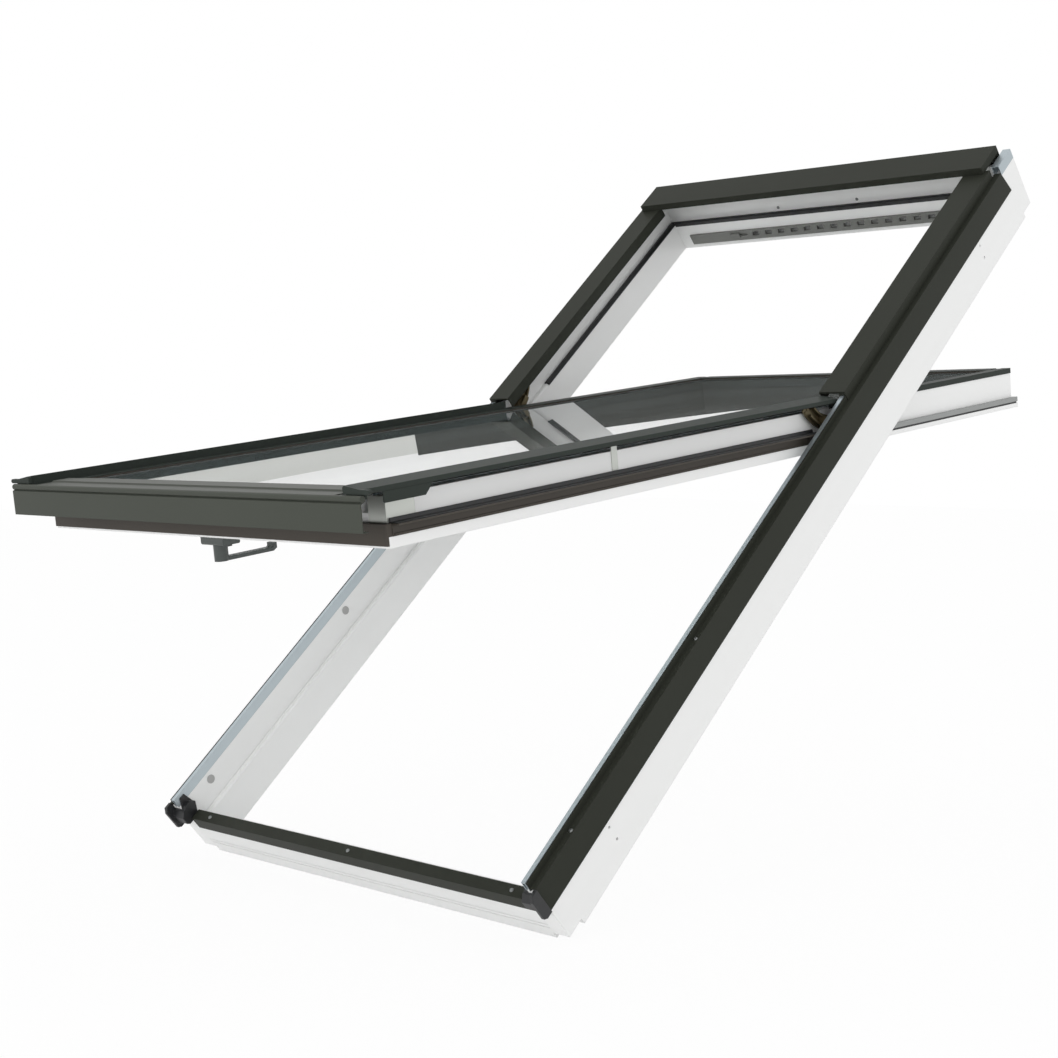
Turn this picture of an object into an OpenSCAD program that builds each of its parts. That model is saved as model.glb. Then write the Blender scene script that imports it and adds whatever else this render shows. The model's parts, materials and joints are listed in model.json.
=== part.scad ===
// Raised-axis pivot roof window: timber frame and sash, folded metal covers, double glazing.
//
// Everything is drawn flat, in the plane of the roof: X runs across the window, Y up the slope and Z
// out of the roof. A place is given by three distances: d, inward from the frame's outer side face;
// v, up the slope from the frame's foot; n, outward from the frame's room side.
// in_roof() then tips the whole window to the pitch, and in_sash() swings the sash about its axis.

/* [Setting] */
// Pitch of the roof, in degrees
roof_pitch = 41.1; // [15:0.1:60]
// Angle by which the sash stands open, in degrees
open_angle = 34.3; // [0:0.1:60]

/* [Frame timber] */
// Width over the two jambs
frame_w = 780; // [550:10:1140]
// Length up the slope
frame_h = 1600; // [1400:10:1800]
// Depth of the jambs and head, room side to outside
frame_depth = 104; // [98:1:120]
// Height of the ledge above the room side
ledge_n = 60; // [50:1:66]
// Thickness of a jamb below the ledge
jamb_t = 28; // [24:1:36]
// Width of the ledge
ledge_w = 10; // [8:1:12]
// Thickness of the head below the ledge
head_t = 30; // [26:1:40]
// Thickness of the sill below the ledge
sill_t = 29; // [24:1:31]
// Width of the sill's ledge
sill_ledge_w = 13; // [10:1:15]
// Distance by which the sill stays below the jambs' outside
sill_step = 26; // [20:1:32]
// Height of the lining lip that the corners leave out
lip_h = 9.5; // [6:0.5:12]
// Bevel along the ledge's edge
ledge_bevel = 3; // [1:0.5:4]
// Heights of the two fine grooves in the sill's front above the room side
sill_groove_n = [20, 27];
// Height of a groove
sill_groove_h = 1.6; // [1:0.1:3]
// Depth of a groove
sill_groove_t = 1.2; // [0.6:0.1:2]

/* [Frame covers] */
// Thickness of the folded sheet
sheet_t = 1.2; // [0.8:0.1:2]
// Height of the side profile's leg on the jamb
leg_h = 44; // [36:1:50]
// Rise of the side profile's strip over the timber
strip_rise = 6; // [4:0.5:9]
// Width of that strip
strip_w = 9.5; // [8:0.5:10]
// Height of the bright upstand beside the strip
upstand_h = 15.5; // [10:0.5:16]
// Length by which side profiles and upstands pass the frame's foot
profile_foot = 1; // [0:0.5:3]
// Length by which the corner caps pass the frame's foot
cap_front = 12; // [8:1:13]
// Length by which a corner cap's outer plate passes the frame's foot
cap_plate_front = 17; // [14:1:20]
// Thickness of that plate
cap_plate_t = 4; // [3:0.5:6]
// Width of the cap's hood beside the jamb
cap_lump_w = 9; // [6:1:11]
// Length of that hood behind the frame's foot
cap_lump_l = 22; // [16:1:26]
// Bevel of the hood
cap_bevel = 8; // [4:1:10]
// Thickness of the cap's fin along the upstand
cap_fin_t = 1.5; // [1:0.1:2]
// Distance of that fin's top below the upstand's top
cap_fin_drop = 6; // [4:0.5:10]
// Distance of the cap's toe below the sill cover
cap_toe_drop = 4; // [2:0.5:8]
// Length of the bare corner piece at the frame's top
corner_piece_l = 55; // [40:1:80]
// Height of that piece over the timber
corner_piece_h = 18; // [8:1:20]
// Extra length of the leg at its slanted top end
leg_slant = 13; // [5:1:20]
// Length by which the upper side covers pass the turning axis towards the foot
upper_cover_foot = 22; // [20:1:26]
// Height of the turned-down lip at that end of the upper side covers
upper_cover_lip = 3.5; // [2:0.5:4]
// Distance of the upper side cover's outer wall from the frame's side
upper_cover_d = 7.5; // [4:0.5:8]
// Width of the upper side cover
upper_cover_w = 47; // [45:1:50]
// Distance of the upper side cover's end before the side profile's end
upper_cover_back = 14; // [4:1:20]
// Height of the upper side cover's inner wall
upper_cover_wall = 20; // [17:1:26]
// Distance of the head cover's ends from the frame's sides
head_cover_d = 15; // [10:1:20]
// Distance of the head cover's back wall from the frame's top
head_cover_e = 13; // [8:1:18]
// Width of the head cover, up the slope
head_cover_w = 66; // [56:1:76]
// Height of the head cover's front face
head_cover_face = 13; // [10:1:18]
// Height of the sill cover's front face
sill_cover_face = 21; // [16:1:26]
// Turned-down edge behind the sill cover
sill_cover_back = 6; // [4:1:10]

/* [Sash timber] */
// Running gap between the sash and the jambs or sill
sash_gap = 5; // [3:0.5:7]
// Gap between the sash's front and the sill, which the sash swings past
front_gap = 9; // [7:0.5:10]
// Gap between the sash's end and the head
rear_gap = 10; // [8:0.5:12]
// Distance of the sash's room side below the ledge
sash_drop = 27; // [24:1:30]
// Height of the flange round the sash
flange_h = 14; // [12:1:16]
// Width of the flange on the stiles
flange_w = 8; // [6:1:10]
// Width of the flange on the top rail
rear_flange_w = 8; // [6:1:10]
// Width of the flange on the bottom rail
front_flange_w = 6; // [6:1:10]
// Width of a stile or rail, without its flange
stile_w = 44; // [40:1:56]
// Height of the stiles and rails
stile_h = 62; // [58:1:64]
// Width of the wall outside the glazing rebate
rebate_wall = 21; // [16:1:24]
// Height of the glass seat above the sash's room side
seat_h = 41; // [36:1:46]
// Bevel along the sash's room-side edges
sash_bevel = 3; // [1:0.5:5]

/* [Glass] */
// Thickness of a pane
pane_t = 4; // [4:1:6]
// Gap between the panes
pane_gap = 16; // [12:1:18]
// Clearance round the panes in the rebate
pane_clear = 2; // [1:0.5:4]
// Width of the spacer between the panes
spacer_w = 8; // [6:1:12]
// Distance of the spacer from the panes' edge
spacer_inset = 5; // [3:1:8]
// Thickness of the seal under the inner pane
seat_seal_t = 1; // [0.5:0.5:2]
// Width of the seal under the inner pane
seat_seal_w = 10; // [6:1:14]
// Thickness of the seal on the outer pane
top_seal_t = 2; // [1:0.5:3]
// Width of the seal on the outer pane
top_seal_w = 6; // [5:1:8]

/* [Sash covers] */
// Gap between the lower side cover and the jamb's outer wall
side_cover_gap = 2.5; // [2.3:0.1:4]
// Height of the lower side cover's inner edge over the glazing seal
crest_h = 14; // [12:0.5:18]
// Fall of its top towards the outer edge
crest_fall = 4.5; // [2:0.5:6]
// Width of that top
crest_w = 28; // [26:1:32]
// Height of the outer wall's foot over the glazing seal
side_wall_rise = 3; // [2.5:0.5:5]
// Length by which the lower side covers reach under the frame's upper covers
crest_tuck = 22; // [2:0.5:23]
// Distance of the lower side covers' front end before the frame's foot
side_cover_front = 5.6; // [3:0.2:6]
// Height of the upper sash covers over the glazing seal
low_cover_h = 2; // [1.5:0.5:3]
// Depth of the drip edge on the upper sash covers
drip_edge = 9; // [6:1:12]
// Gap between the upper sash covers and the frame's upper covers
closing_gap = 4; // [2:0.5:5]
// Gap between the ends of the seals and upper sash covers at the turning axis
axis_gap = 5; // [3:1:10]
// Overhang of the bottom cover in front of the frame's foot
bottom_overhang = 17; // [16:0.5:22]
// Half-width by which the bottom cover's face falls short of the frame's side
bottom_cover_d = 15; // [8:1:18]
// Height of the bottom cover's face below its bead
bottom_face_h = 32; // [28:1:33]
// Radius of the bead along the bottom cover's top
bead_r = 4.2; // [3:0.2:5]
// Depth of the groove under the bead
bead_groove = 4; // [2:0.5:5]
// Return at the foot of the bottom cover's face
bottom_return = 8; // [5:1:12]
// Height of the step along the bottom cover's top
bottom_step_h = 2; // [1:0.5:3]
// Length of the plastic caps at the front of the side covers
end_cap_t = 5.4; // [2:0.2:6]
// Distance of such a cap's outer end from the frame's side
end_cap_d = 4; // [2:0.5:8]
// Bevel of such a cap
end_cap_bevel = 2.4; // [1:0.2:3]
// Gap between such a cap and the bead below it
end_cap_gap = 0.4; // [0.3:0.1:1]
// Length of the bare plates round the sash's lower corners
corner_plate_l = 46; // [30:1:70]
// Reach of such a plate along the bottom rail
corner_plate_w = 30; // [20:1:40]
// Place of the clip on each stile, up the slope
clip_v = 461; // [200:1:700]
// Width of that clip
clip_w = 12; // [6:1:14]
// Length of that clip below the stile's outside
clip_drop = 26; // [16:1:30]
// Length of the clip's hook
clip_hook = 6; // [4:0.5:10]

/* [Seals] */
// Height of the seal that the lower half of the sash carries
lower_seal_h = 13; // [10:1:14]
// Thickness of its lip over the ledge
lip_t = 2; // [1.5:0.5:3]
// Rest gap between that lip and the ledge
lip_rest = 0.4; // [0.3:0.1:1]
// Height of the flange round the upper half of the sash
upper_flange_h = 7; // [5:0.5:9]
// Height of the seal on that flange
upper_seal_h = 3; // [2:0.5:4]
// Height of the trim on that seal
upper_trim_h = 8; // [6:0.5:9]
// Height of the seal on the jambs' ledge
frame_seal_h = 2.5; // [2:0.5:4]
// Reach of that seal's lip past the ledge
frame_seal_lip = 3; // [2:0.5:6]
// Distance of that seal's start above the turning axis
frame_seal_start = 100; // [100:1:130]
// Width of the frame's seal on the ledge
head_seal_w = 4; // [3:0.5:5]
// Thickness of the head's seal
head_seal_t = 2.5; // [1.5:0.5:4]
// Length of its lip down the head's face
head_seal_lip = 6; // [3:0.5:8]
// Distance of the lower seal's end from the turning axis
seal_axis_gap = 18; // [15:1:25]
// Thickness of the lower seal in front of the bottom rail's flange
front_seal_t = 3; // [2:0.5:3.5]

/* [Turning axis and hinges] */
// Place of the turning axis, up the slope
pivot_v = 972; // [880:1:1050]
// Height of the turning axis over the timber
pivot_rise = 56; // [54:1:60]
// Gap between the hinge's plates and the ledge
hinge_ledge_gap = 1.5; // [1:0.1:3]
// Depth of the link, in the direction of the radius
link_h = 10.4; // [8:0.2:11]
// Width of the link across the window
link_w = 12.2; // [11:0.1:12.4]
// Running gap between the link and its tracks
link_gap = 0.3; // [0.3:0.1:0.6]
// Thickness of the ribs that guide the link
rib_t = 3; // [2:0.2:3.4]
// Height of these ribs
rib_h = 6; // [4:0.2:6]
// Half of the angle that link and tracks span, in degrees
arc_half = 43; // [41:1:44]
// Thickness of the hinge's plates
plate_t = 2; // [1.5:0.1:2.2]
// Half of the angle that the shoe's spine on the stile spans, in degrees
shoe_half = 34; // [25:1:35]
// Rim of the plates past the ribs
plate_rim = 3.5; // [2:0.5:4]
// Angle by which the shoe's riveted lug passes its track, in degrees
lug_angle = 9; // [8:0.5:10]
// Radius of the hinge's rivet heads
rivet_r = 2.6; // [2:0.2:3]
// Height of the rivet heads
rivet_h = 1.2; // [0.8:0.2:1.6]

/* [Vent] */
// Distance of the vent grille's ends from the jambs
grille_margin = 27; // [20:1:40]
// Height of the grille
grille_h = 22; // [18:1:24]
// Thickness of the grille
grille_t = 3; // [2:0.5:4]
// Height of the grille's lower edge above the room side
grille_n = 9; // [5:1:10]
// Height of the slots' middle over the grille's middle
slot_rise = 1.5; // [0:0.5:3]
// Distance between two slots
slot_pitch = 30; // [26:1:32]
// Width of a slot
slot_w = 15; // [10:0.5:16]
// Height of a slot
slot_h = 9; // [6:0.5:10]
// Slant of a slot's sides
slot_slant = 4; // [0:0.5:5]
// Distance of the first slot from the grille's end
slot_start = 158; // [150:1:165]
// Depth of the air channel behind the grille
channel_t = 18; // [12:1:20]
// Distance of the air channel's ends from the grille's ends
channel_margin = 8; // [4:1:10]
// Clearance of the slider in the air channel's height
channel_clear = 1.5; // [1:0.5:3]
// Distance of the slider's knob from the grille's end
knob_start = 118; // [112:1:120]
// Length of the knob
knob_l = 22; // [14:1:24]
// Travel of the slider
slider_travel = 15; // [12:1:16]

/* [Handle] */
// Place of the handle's spindle, up the slope
handle_v = 58; // [56:1:64]
// Distance of the handle's base from the spindle, towards the sash's front
handle_base_front = 13; // [11.5:0.5:16]
// Length, width and thickness of the handle's base
handle_base_size = [28, 48, 12];
// Bevel round the base's room side
base_bevel = 1.6; // [1:0.2:4]
// Radius of the handle's boss
boss_r = 9.6; // [8:0.2:11]
// Height of the boss below the base
boss_h = 22.5; // [16:0.5:26]
// Length of the thumb catch beside the boss
catch_l = 7; // [4:0.5:10]
// Length of the lever from the spindle
lever_l = 93; // [80:1:120]
// Width of the lever
lever_w = 15; // [10:1:18]
// Thickness of the lever
lever_t = 5; // [4:0.5:8]
// Height of the lever's bent tip
lever_tip_h = 6; // [4:1:11]
// Running gap between the boss and the base
boss_gap = 0.3; // [0.2:0.1:0.5]

/* [Fixings] */
// Radius of the bracket screw holes in the jambs
bracket_hole_r = 2; // [1.5:0.5:3]
// Depth of these holes
bracket_hole_t = 16; // [8:1:18]
// Distance between the two holes of a bracket
bracket_pitch = 24; // [16:1:30]
// Height of these holes above the room side
bracket_n = 45; // [30:1:50]
// Distance of the lower brackets from the frame's foot
bracket_foot = 145; // [100:5:300]
// Distance of the upper brackets from the frame's top
bracket_top = 188; // [100:4:300]
// Radius of the plugs over the jambs' screws
plug_r = 7; // [4:0.5:8]
// Distance of the plugs' edge below the jamb's outside
plug_gap = 6; // [3:0.5:12]
// Thickness of the plugs
plug_t = 1.2; // [0.8:0.1:2]
// Places of these plugs, up the slope
plug_v = [68, 443];
// Radius of the cover screws' heads
screw_r = 3.2; // [2:0.2:4]
// Height of the cover screws' heads
screw_h = 1.6; // [1:0.2:2.4]
// Places of the sill cover's screws across the window
sill_screw_x = [-324, 0, 324];
// Places of the side profiles' screws, up the slope
strip_screw_v = [95, 440];
// Places of the head's screws across the window
head_screw_x = [-109, 68];
// Width, thickness and height of the lock's keeper plate
keeper_size = [60, 2, 22];
// Width and height of the slot in it
keeper_slot = [32, 8];
// Distance of the keeper plate's top below the ledge
keeper_drop = 8; // [6:1:14]

/* [Hidden] */
$fn = 48;
eps = 0.01;

// Colours
white_paint = [0.93, 0.93, 0.92];
dark_paint = [0.29, 0.30, 0.27];
bare_metal = [0.66, 0.71, 0.74];
black_plastic = [0.09, 0.10, 0.10];
brown_rubber = [0.22, 0.17, 0.13];
brass_plate = [0.42, 0.36, 0.22];
grille_grey = [0.47, 0.48, 0.45];
clear_glass = [0.80, 0.88, 0.88, 0.35];
handle_grey = [0.30, 0.32, 0.30];

// The frame
outer_wall_t = jamb_t - ledge_w;
sill_depth = frame_depth - sill_step;
upstand_n = frame_depth + upstand_h;
head_wall_t = head_t - ledge_w;
sill_wall_t = sill_t - sill_ledge_w;
strip_n = frame_depth + strip_rise;
leg_n = strip_n - leg_h;
upstand_d = strip_w + sheet_t + 0.3;
profile_end = frame_h - corner_piece_l;
upper_cover_v = pivot_v - upper_cover_foot;

// The sash, closed
flange_d = jamb_t + sash_gap;
stile_d = flange_d + flange_w;
stile_in_d = stile_d + stile_w;
rebate_d = stile_d + rebate_wall;
sash_n = ledge_n - sash_drop;
flange_n = sash_n + flange_h;
upper_flange_n = sash_n + upper_flange_h;
upper_seal_n = upper_flange_n + upper_seal_h;
upper_trim_n = upper_seal_n + upper_trim_h;
seat_n = sash_n + seat_h;
timber_n = sash_n + stile_h;
front_v = sill_t + front_gap;
front_face_v = front_v + front_flange_w;
rear_v = frame_h - head_t - rear_gap;
rear_face_v = rear_v - rear_flange_w;
front_rebate_v = front_face_v + rebate_wall;
rear_rebate_v = rear_face_v - rebate_wall;
front_in_v = front_face_v + stile_w;
rear_in_v = rear_face_v - stile_w;

// The glass, stacked outward from its seat
inner_pane_n = seat_n + seat_seal_t;
spacer_n = inner_pane_n + pane_t;
outer_pane_n = spacer_n + pane_gap;
top_seal_n = outer_pane_n + pane_t;
landing_n = top_seal_n + top_seal_t;
landing_d = rebate_d + top_seal_w;

// Covers that meet when the sash closes
low_cover_n = landing_n + low_cover_h;
upper_wall_n = low_cover_n + closing_gap;
upper_cover_n = upper_wall_n + upper_cover_wall;
head_cover_n = upper_cover_n + head_cover_face;
side_cover_d = outer_wall_t + side_cover_gap;
crest_n = landing_n + crest_h;
crest_d = side_cover_d + crest_w;
side_wall_n = landing_n + side_wall_rise;
bead_n = landing_n - 1;

// The turning axis and the hinge, stacked inward from the jamb's outer wall
pivot_n = frame_depth + pivot_rise;
rail_d = outer_wall_t + plate_t;
link_d = rail_d + link_gap;
shoe_d = link_d + link_w + link_gap;
plate_r1 = pivot_n - ledge_n - hinge_ledge_gap;
out_rib_r = plate_r1 - plate_rim - rib_t;
link_r = out_rib_r - link_gap - link_h / 2;
in_rib_r = link_r - link_h / 2 - link_gap - rib_t;
plate_r0 = in_rib_r - plate_rim;

// The vent
grille_l = frame_w - 2 * (jamb_t + grille_margin);
slot_first_x = slot_start - grille_l / 2;
slot_count = floor((grille_l - slot_start - slot_pitch) / slot_pitch) + 1;
slot_last_x = slot_first_x + (slot_count - 1) * slot_pitch;
knob_x = knob_start - grille_l / 2;

// Places the children, drawn flat, in the roof, with the middle of the sill's room side at the origin.
module in_roof() {
    rotate([roof_pitch, 0, 0]) translate([0, -sill_t / 2, 0]) children();
}

// Swings the children about the turning axis by the given angle.
module swung(angle) {
    in_roof() translate([0, pivot_v, pivot_n]) rotate([-angle, 0, 0])
        translate([0, -pivot_v, -pivot_n]) children();
}

module in_sash() {
    swung(open_angle) children();
}

// Draws the children, made for the right side, on the given side.
module on_side(side) {
    if (side > 0) children();
    else mirror([1, 0, 0]) children();
}

// Extrudes a right-hand section, given in d and n, from v0 to v1.
module up_slope(v0, v1) {
    translate([frame_w / 2, v1, 0]) rotate([90, 0, 0]) linear_extrude(v1 - v0) mirror([1, 0]) children();
}

// Extrudes a section, given in v and n, from x0 to x1.
module across(x0, x1) {
    translate([x0, 0, 0]) rotate([90, 0, 90]) linear_extrude(x1 - x0) children();
}

// A right-hand block between two distances d, two v and two n.
module block(d, v, n) {
    translate([frame_w / 2 - d[1], v[0], n[0]]) cube([d[1] - d[0], v[1] - v[0], n[1] - n[0]]);
}

function unit(a) = a / norm(a);
function left_of(a) = [-a[1], a[0]];
function leg_dir(path, i) = unit(path[min(i + 1, len(path) - 1)] - path[min(i, len(path) - 2)]);
function fold_point(path, i, t) =
    let (a = left_of(leg_dir(path, max(i - 1, 0))), b = left_of(leg_dir(path, i)), m = a + b)
    path[i] + m * (2 * t / (m * m));

// Section of a sheet folded along a path, with its thickness to the left of the path.
module folded(path, t = sheet_t) {
    last = len(path) - 1;
    polygon(concat(path, [for (i = [last:-1:0]) fold_point(path, i, t)]));
}

// A flat ring in the plane of the glass, set inward by d from the frame and by e from the rebates.
module glass_ring(d, e, w, n0, n1) {
    half = frame_w / 2 - d;
    v0 = front_rebate_v + e;
    v1 = rear_rebate_v - e;
    translate([0, 0, n0]) linear_extrude(n1 - n0) difference() {
        translate([-half, v0]) square([2 * half, v1 - v0]);
        translate([w - half, v0 + w]) square([2 * (half - w), v1 - v0 - 2 * w]);
    }
}

// Frame timber

module jamb(side) {
    section = [
        [0, 0], [jamb_t, 0], [jamb_t, ledge_n - ledge_bevel], [jamb_t - ledge_bevel, ledge_n],
        [outer_wall_t, ledge_n], [outer_wall_t, frame_depth], [0, frame_depth]
    ];
    color(white_paint) in_roof() on_side(side) difference() {
        up_slope(0, frame_h) polygon(section);
        for (v = [[-1, head_t], [frame_h - head_t, frame_h + 1]])
            block([-1, jamb_t + 1], v, [-1, lip_h]);
        for (end = [bracket_foot, frame_h - bracket_top])
            for (step = [-0.5, 0.5])
                translate([frame_w / 2 - bracket_hole_t, end, bracket_n + step * bracket_pitch])
                    rotate([0, 90, 0]) cylinder(h = bracket_hole_t + 1, r = bracket_hole_r);
    }
}

module frame_head() {
    low = frame_w / 2 - jamb_t;
    high = frame_w / 2 - outer_wall_t;
    channel_h = slot_h + 2 + 2 * channel_clear;
    channel_n = grille_n + grille_h / 2 + slot_rise - channel_h / 2;
    channel_l = grille_l - 2 * channel_margin;
    color(white_paint) in_roof() difference() {
        union() {
            across(-low, low) translate([frame_h - head_t, 0]) square([head_t, ledge_n]);
            across(-high, high) translate([frame_h - head_wall_t, ledge_n])
                square([head_wall_t, frame_depth - ledge_n]);
        }
        translate([-channel_l / 2, frame_h - head_t - 1, channel_n])
            cube([channel_l, channel_t + 1, channel_h]);
    }
}

module frame_sill() {
    low = frame_w / 2 - jamb_t;
    high = frame_w / 2 - outer_wall_t;
    color(white_paint) in_roof() difference() {
        union() {
            across(-low, low) square([sill_t, ledge_n]);
            across(-high, high) translate([0, ledge_n]) square([sill_wall_t, sill_depth - ledge_n]);
        }
        for (n = sill_groove_n) translate([-frame_w / 2, -1, n])
            cube([frame_w, sill_groove_t + 1, sill_groove_h]);
    }
}

// Frame covers

module side_profile(side) {
    path = [
        [0, leg_n], [0, strip_n - sheet_t], [strip_w, strip_n - sheet_t], [strip_w, frame_depth]
    ];
    slant = atan2(leg_slant, leg_h);
    color(dark_paint) in_roof() on_side(side) union() {
        difference() {
            up_slope(-profile_foot, profile_end + leg_slant) folded(path);
            translate([frame_w / 2 - jamb_t, profile_end, strip_n]) rotate([slant, 0, 0])
                translate([0, 0, -2 * leg_h]) cube([2 * jamb_t, 3 * leg_slant, 3 * leg_h]);
        }
        block([strip_w - sheet_t, strip_w], [-profile_foot, upper_cover_v - 1],
            [strip_n - sheet_t / 2, upstand_n]);
    }
}

// Upturned channel beside the strip, below the axis.
module upstand(side) {
    out = upstand_d + sheet_t;
    in = outer_wall_t - sheet_t;
    top = upstand_n - sheet_t;
    path = [[out, frame_depth], [out, top], [in, top], [in, frame_depth]];
    color(bare_metal) in_roof() on_side(side) up_slope(-profile_foot, upper_cover_v) folded(path);
}

// Bare channel on the end of a jamb, past the slanted end of the side profile.
module corner_piece(side) {
    in = head_cover_d - 1 - sheet_t;
    top = frame_depth + corner_piece_h - sheet_t;
    path = [[sheet_t, frame_depth], [sheet_t, top], [in, top], [in, frame_depth]];
    color(bare_metal) in_roof() on_side(side)
        up_slope(profile_end + strip_rise / 2, frame_h) folded(path);
}

module upper_cover(side) {
    v0 = upper_cover_v;
    v1 = profile_end - upper_cover_back;
    out = upper_cover_d + sheet_t;
    in = upper_cover_d + upper_cover_w - sheet_t;
    top = upper_cover_n - sheet_t;
    path = [[out, strip_n], [out, top], [in, top], [in, upper_wall_n]];
    color(dark_paint) in_roof() on_side(side) union() {
        up_slope(v0, v1) folded(path);
        block([out, in], [v0, v0 + sheet_t], [upper_cover_n - upper_cover_lip, upper_cover_n - sheet_t / 2]);
    }
}

// Cover over the head, which laps the upper side covers' ends.
module head_cover() {
    half = frame_w / 2 - head_cover_d;
    back = frame_h - head_cover_e;
    front = back - head_cover_w;
    top = head_cover_n - sheet_t;
    path = [
        [front + sheet_t, head_cover_n - head_cover_face], [front + sheet_t, top], [back - sheet_t, top],
        [back - sheet_t, frame_depth]
    ];
    color(dark_paint) in_roof() union() {
        across(-half, half) folded(path);
        for (x = [-half, half - sheet_t])
            translate([x, front + sheet_t / 2, head_cover_n - head_cover_face])
                cube([sheet_t, head_cover_w - sheet_t, head_cover_face - sheet_t / 2]);
    }
}

module sill_cover() {
    half = frame_w / 2 - outer_wall_t - cap_lump_w - 0.5;
    path = [
        [0, sill_depth - sill_cover_face], [0, sill_depth], [sill_wall_t, sill_depth],
        [sill_wall_t, sill_depth - sill_cover_back]
    ];
    color(dark_paint) in_roof() across(-half, half) folded(path);
}

// Plastic cap that closes the foot of a jamb and the corner above the sill.
module corner_cap(side) {
    jamb_x = frame_w / 2 - outer_wall_t;
    low = sill_depth - cap_toe_drop;
    top = side_wall_n - 2;
    fin_n = upstand_n - cap_fin_drop;
    toe_n = bead_n - 2;
    toe = [
        [-cap_front, low + cap_bevel / 2], [-cap_front, toe_n - cap_bevel], [cap_bevel - cap_front, toe_n],
        [0, toe_n], [0, low], [cap_bevel / 2 - cap_front, low]
    ];
    hood = [
        [-eps, sill_depth], [-eps, toe_n], [cap_bevel / 2, top], [cap_lump_l - cap_bevel, top],
        [cap_lump_l, top - cap_bevel], [cap_lump_l - cap_bevel, sill_depth]
    ];
    fin = [
        [0, sill_depth], [0, toe_n], [cap_bevel, fin_n], [cap_lump_l - cap_bevel / 2, fin_n],
        [cap_lump_l, top - cap_bevel], [cap_lump_l - cap_bevel, sill_depth]
    ];
    plate = [
        [-profile_foot, leg_n], [-profile_foot, strip_n], [-cap_front, strip_n],
        [-cap_plate_front, strip_n - cap_bevel], [-cap_plate_front, leg_n + cap_bevel / 2],
        [-cap_front, leg_n]
    ];
    color(black_plastic) in_roof() on_side(side) union() {
        across(jamb_x - cap_lump_w, frame_w / 2) polygon(toe);
        across(jamb_x - cap_lump_w, jamb_x) polygon(hood);
        across(jamb_x - cap_fin_t, jamb_x) polygon(fin);
        across(frame_w / 2 - sheet_t, frame_w / 2 + cap_plate_t) polygon(plate);
    }
}

// Seal on the ledge of the jambs above the axis and of the head.
module frame_seal() {
    start = pivot_v + frame_seal_start;
    top = ledge_n + frame_seal_h;
    edge_d = jamb_t - ledge_bevel;
    base_d = edge_d - head_seal_w;
    lip_d = jamb_t + frame_seal_lip;
    side_path = [
        [base_d, ledge_n], [edge_d, ledge_n], [lip_d - 1, ledge_n - ledge_bevel - 0.5],
        [lip_d, ledge_n - ledge_bevel + 1], [edge_d + 1, top], [base_d, top]
    ];
    ledge_v = frame_h - head_t;
    head_path = [
        [ledge_v + head_seal_w, ledge_n], [ledge_v, ledge_n], [ledge_v, ledge_n - head_seal_lip],
        [ledge_v - head_seal_t, ledge_n - head_seal_lip], [ledge_v - head_seal_t, ledge_n + head_seal_t / 2],
        [ledge_v, ledge_n + head_seal_t], [ledge_v + head_seal_w, ledge_n + head_seal_t]
    ];
    end_d = lip_d + 0.5;
    half = frame_w / 2 - end_d;
    color(black_plastic) in_roof() union() {
        for (side = [-1, 1]) on_side(side) {
            up_slope(start, ledge_v) polygon(side_path);
            block([base_d, end_d + eps], [ledge_v - eps, ledge_v + head_seal_w],
                [ledge_n, ledge_n + head_seal_t]);
        }
        across(-half, half) polygon(head_path);
    }
}

// Vent

module slot_cut() {
    polygon([
        [-slot_w / 2, -slot_h / 2], [slot_w / 2, -slot_h / 2],
        [slot_w / 2 + slot_slant / 2, slot_h / 2], [-slot_w / 2 + slot_slant / 2, slot_h / 2]
    ]);
}

// Places a shape drawn in x and n on the head's inner face, growing towards the window's foot.
module on_head_face(v) {
    translate([0, v, grille_n + grille_h / 2]) rotate([90, 0, 0]) children();
}

module vent_grille() {
    face_v = frame_h - head_t;
    knob_slot = knob_l + slider_travel + 4;
    color(grille_grey) in_roof() on_head_face(face_v) difference() {
        linear_extrude(grille_t) translate([-grille_l / 2, -grille_h / 2]) square([grille_l, grille_h]);
        translate([0, 0, -1]) linear_extrude(grille_t + 2) for (i = [0:slot_count - 1])
            translate([slot_first_x + i * slot_pitch, slot_rise]) slot_cut();
        translate([knob_x - knob_slot / 2, slot_rise - 2.5, -1]) cube([knob_slot, 5, grille_t + 2]);
    }
}

// Shutter strip behind the grille, with windows that line up with the slots, and its knob.
module vent_slider() {
    strip_t = 1.5;
    back_v = frame_h - head_t + strip_t + 0.3;
    strip_x0 = knob_x - knob_l / 2 - 10;
    strip_x1 = slot_last_x + slot_pitch / 2;
    knob_off = knob_x - slider_travel / 2;
    color(grille_grey) in_roof() on_head_face(back_v) translate([0, slot_rise, 0]) union() {
        difference() {
            translate([strip_x0 - slider_travel / 2, -slot_h / 2 - 1, 0])
                cube([strip_x1 - strip_x0, slot_h + 2, strip_t]);
            translate([0, 0, -1]) linear_extrude(strip_t + 2) for (i = [0:slot_count - 1])
                translate([slot_first_x + i * slot_pitch, 0]) slot_cut();
        }
        translate([knob_off - 4, -2, 0]) cube([8, 4, strip_t + grille_t + 1]);
        translate([knob_off - knob_l / 2, -4.5, strip_t + grille_t + 0.6]) cube([knob_l, 9, 3]);
    }
}

// Small fixings

module jamb_plugs() {
    color(grille_grey) in_roof() for (side = [-1, 1]) on_side(side) for (v = plug_v)
        translate([frame_w / 2 - outer_wall_t, v, frame_depth - plug_r - plug_gap]) rotate([0, -90, 0])
            cylinder(h = plug_t, r = plug_r);
}

module screw_head() {
    cylinder(h = screw_h, r1 = screw_r, r2 = screw_r * 0.7);
}

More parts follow.
